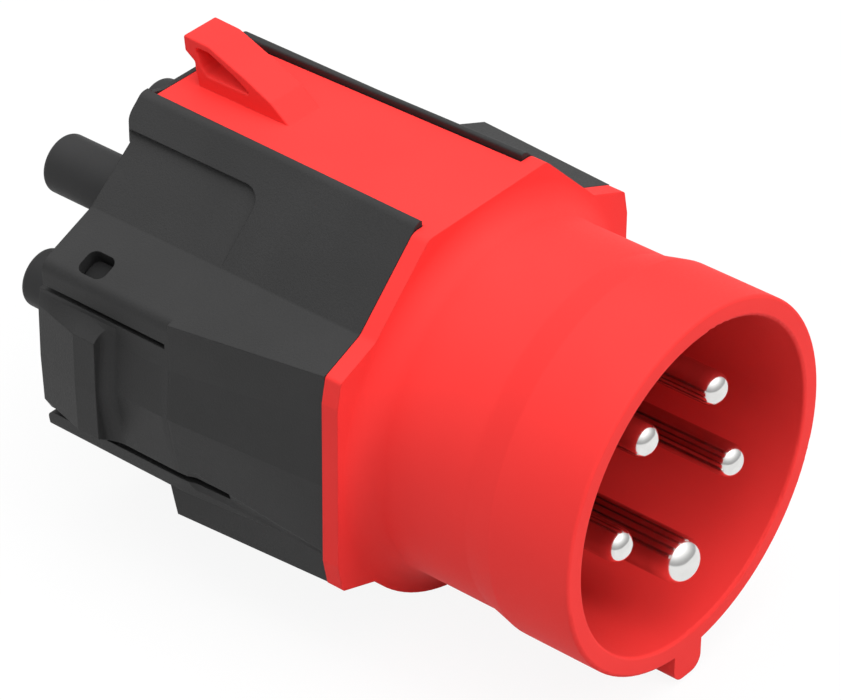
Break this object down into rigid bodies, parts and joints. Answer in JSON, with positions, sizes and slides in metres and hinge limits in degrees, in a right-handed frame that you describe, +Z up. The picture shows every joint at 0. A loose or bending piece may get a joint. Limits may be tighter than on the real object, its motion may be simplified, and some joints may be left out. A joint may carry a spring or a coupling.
{
  "type": "industrial plug adapter",
  "caption": "Attachment plug with a round pinned industrial plug face, red front shell and black latching housing with rear contact sleeves",
  "frame": {"origin": "centre of the collar's rim, on the plug axis", "axes": "+Y runs from the plug face to the rear sleeves, +Z up to the lanyard eye, +X right seen from the front"},
  "size_m": [0.0744, 0.1095, 0.0717],
  "materials": {
    "red_plastic": "moulded, satin",
    "black_plastic": "moulded, fine texture",
    "sleeve_plastic": "moulded, smooth",
    "insert_plastic": "moulded",
    "seal_rubber": "smooth",
    "screw_steel": "zinc plated",
    "plated_metal": "nickel plated, polished",
    "wire_phase": "insulation",
    "wire_neutral": "insulation",
    "wire_earth": "insulation"
  },
  "bodies": {
    "body": {"front_shell": "red_plastic", "pin_carrier": "insert_plastic", "carrier_seal": "seal_rubber", "carrier_screws": "screw_steel", "housing": "black_plastic", "rear_carrier": "black_plastic", "pin_phase_1": "plated_metal", "contact_phase_1": "plated_metal", "conductor_phase_1": "wire_phase", "sleeve_phase_1": "sleeve_plastic", "pin_phase_2": "plated_metal", "contact_phase_2": "plated_metal", "conductor_phase_2": "wire_phase", "sleeve_phase_2": "sleeve_plastic", "pin_phase_3": "plated_metal", "contact_phase_3": "plated_metal", "conductor_phase_3": "wire_phase", "sleeve_phase_3": "sleeve_plastic", "pin_neutral": "plated_metal", "contact_neutral": "plated_metal", "conductor_neutral": "wire_neutral", "sleeve_neutral": "sleeve_plastic", "pin_earth": "plated_metal", "contact_earth": "plated_metal", "conductor_earth": "wire_earth", "sleeve_earth": "sleeve_plastic"},
    "latch_right": {"latch_right": "black_plastic"},
    "latch_left": {"latch_left": "black_plastic"}
  },
  "joints": [
    {"name": "right_latch_hinge", "type": "hinge", "parent": "body", "child": "latch_right", "pos_m": [0.0349, 0.06706, 0], "axis": [0, 0, 1], "range_deg": [0, 12], "stiffness_Nm_per_rad": 0.6},
    {"name": "left_latch_hinge", "type": "hinge", "parent": "body", "child": "latch_left", "pos_m": [-0.0349, 0.06706, 0], "axis": [0, 0, -1], "range_deg": [0, 12], "stiffness_Nm_per_rad": 0.6}
  ]
}
